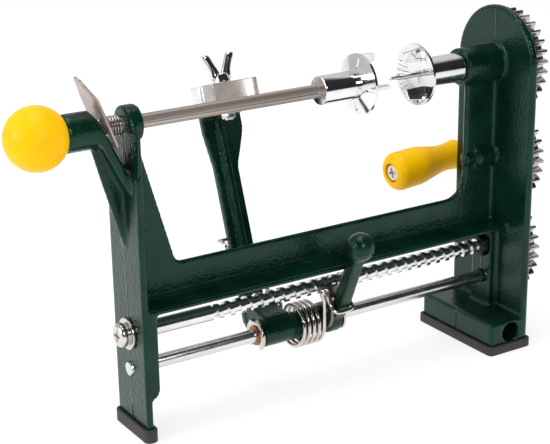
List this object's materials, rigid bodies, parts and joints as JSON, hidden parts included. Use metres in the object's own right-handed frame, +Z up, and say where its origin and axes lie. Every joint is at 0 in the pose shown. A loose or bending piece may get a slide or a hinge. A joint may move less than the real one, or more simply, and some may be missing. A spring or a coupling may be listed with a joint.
{
  "type": "apple peeler",
  "caption": "Hand-cranked table peeler: a geared fruit spindle, a spring-loaded blade arm fed by a lead screw, and a sliding push rod on a one-piece cast frame.",
  "frame": {"origin": "on the table, in the middle plane of the shafts, under the left face of the gear column", "axes": "+X along the machine to the gears, +Y away from the user, +Z up"},
  "size_m": [0.358, 0.1123, 0.216],
  "materials": {
    "green_enamel": "dark green enamel over cast metal",
    "pad_rubber": "matt dark rubber",
    "chromed_rod": "bright plated rod",
    "chromed_screw": "bright plated screw",
    "nickel_rod": "satin nickel",
    "bronze": "oiled bronze",
    "blackened_steel": "blackened",
    "gear_steel": "plated machined steel",
    "zinc_steel": "zinc plated",
    "chrome_claw": "polished plating",
    "latch_steel": "plain sheet steel",
    "spring_wire": "plated spring wire",
    "blade_steel": "plated steel",
    "clamp_metal": "polished die casting",
    "follower_steel": "dull sheet steel",
    "yellow_lacquer": "glossy yellow lacquer"
  },
  "bodies": {
    "base": {"frame_casting": "green_enamel", "foot_pad_left": "pad_rubber", "foot_pad_right": "pad_rubber", "guide_rod": "chromed_rod", "spindle_bush": "bronze", "screw_bush": "blackened_steel", "latch_spring": "spring_wire"},
    "crank": {"crank_shaft": "chromed_rod", "drive_gear": "gear_steel", "crank_spacer": "zinc_steel", "crank_nut": "zinc_steel", "crank_arm": "green_enamel", "grip_stud": "zinc_steel"},
    "grip": {"crank_grip": "yellow_lacquer"},
    "spindle": {"spindle_shaft": "chromed_rod", "spindle_gear": "gear_steel", "spindle_claw": "chrome_claw", "centre_pin": "zinc_steel", "spindle_gear_washer": "zinc_steel", "spindle_gear_screw": "zinc_steel"},
    "feed_screw": {"lead_screw": "chromed_screw", "lead_screw_gear": "gear_steel", "end_washer": "zinc_steel", "end_spring_washer": "zinc_steel", "end_screw": "zinc_steel", "lead_gear_washer": "zinc_steel", "lead_gear_screw": "zinc_steel"},
    "pusher": {"push_rod": "nickel_rod", "ball_knob": "yellow_lacquer", "pusher_screw": "zinc_steel"},
    "pusher_head": {"pusher_claw": "chrome_claw"},
    "latch": {"latch_plate": "latch_steel"},
    "carriage": {"carriage_bush": "bronze", "bush_clips": "zinc_steel", "torsion_spring": "spring_wire"},
    "arm": {"peeler_arm": "green_enamel", "blade_clamp": "clamp_metal", "ring_blade": "blade_steel", "clamp_nut": "zinc_steel"},
    "wing": {"wing_bolt": "chrome_claw"},
    "lever": {"release_lever": "green_enamel", "thread_follower": "follower_steel", "follower_rivet": "follower_steel"}
  },
  "joints": [
    {"name": "crank_turn", "type": "hinge", "parent": "base", "child": "crank", "pos_m": [0, 0, 0.1209], "axis": [1, 0, 0], "range_deg": [-22, 54]},
    {"name": "grip_spin", "type": "hinge", "parent": "crank", "child": "grip", "pos_m": [0.0219, 0.05948, 0.1034], "axis": [0.9976, 0.0197, 0.0669], "continuous": true},
    {"name": "spindle_spin", "type": "hinge", "parent": "base", "child": "spindle", "pos_m": [0, 0, 0.181], "axis": [1, 0, 0], "continuous": true},
    {"name": "screw_spin", "type": "hinge", "parent": "base", "child": "feed_screw", "pos_m": [0, 0, 0.0608], "axis": [1, 0, 0], "continuous": true},
    {"name": "push_rod_slide", "type": "slide", "parent": "base", "child": "pusher", "axis": [1, 0, 0], "range_m": [-0.1175, 0]},
    {"name": "pusher_claw_spin", "type": "hinge", "parent": "pusher", "child": "pusher_head", "pos_m": [-0.12, 0, 0.181], "axis": [1, 0, 0], "continuous": true},
    {"name": "latch_tilt", "type": "hinge", "parent": "base", "child": "latch", "pos_m": [-0.26635, 0, 0.1711], "axis": [0, 1, 0], "range_deg": [0, 6], "stiffness_Nm_per_rad": 0.4, "springref_deg": -20.05, "deforming": ["latch_spring"]},
    {"name": "carriage_slide", "type": "slide", "parent": "base", "child": "carriage", "axis": [1, 0, 0], "range_m": [-0.06, 0.1]},
    {"name": "arm_swing", "type": "hinge", "parent": "carriage", "child": "arm", "pos_m": [-0.15, 0, 0.0393], "axis": [1, 0, 0], "range_deg": [-15, 7], "stiffness_Nm_per_rad": 1.5, "springref_deg": 4.58, "deforming": ["torsion_spring"]},
    {"name": "wing_bolt_turn", "type": "hinge", "parent": "arm", "child": "wing", "pos_m": [-0.169, 0.04102, 0.1648], "axis": [0, 0.3322, 0.9432], "continuous": true},
    {"name": "lever_swing", "type": "hinge", "parent": "carriage", "child": "lever", "pos_m": [-0.125, 0, 0.0393], "axis": [1, 0, 0], "range_deg": [0, 25], "stiffness_Nm_per_rad": 0.4, "springref_deg": -20.05, "deforming": ["torsion_spring"]}
  ],
  "couplings": [
    {"joint": "spindle_spin", "follows": "crank_turn", "ratio": -1},
    {"joint": "screw_spin", "follows": "crank_turn", "ratio": -1}
  ]
}
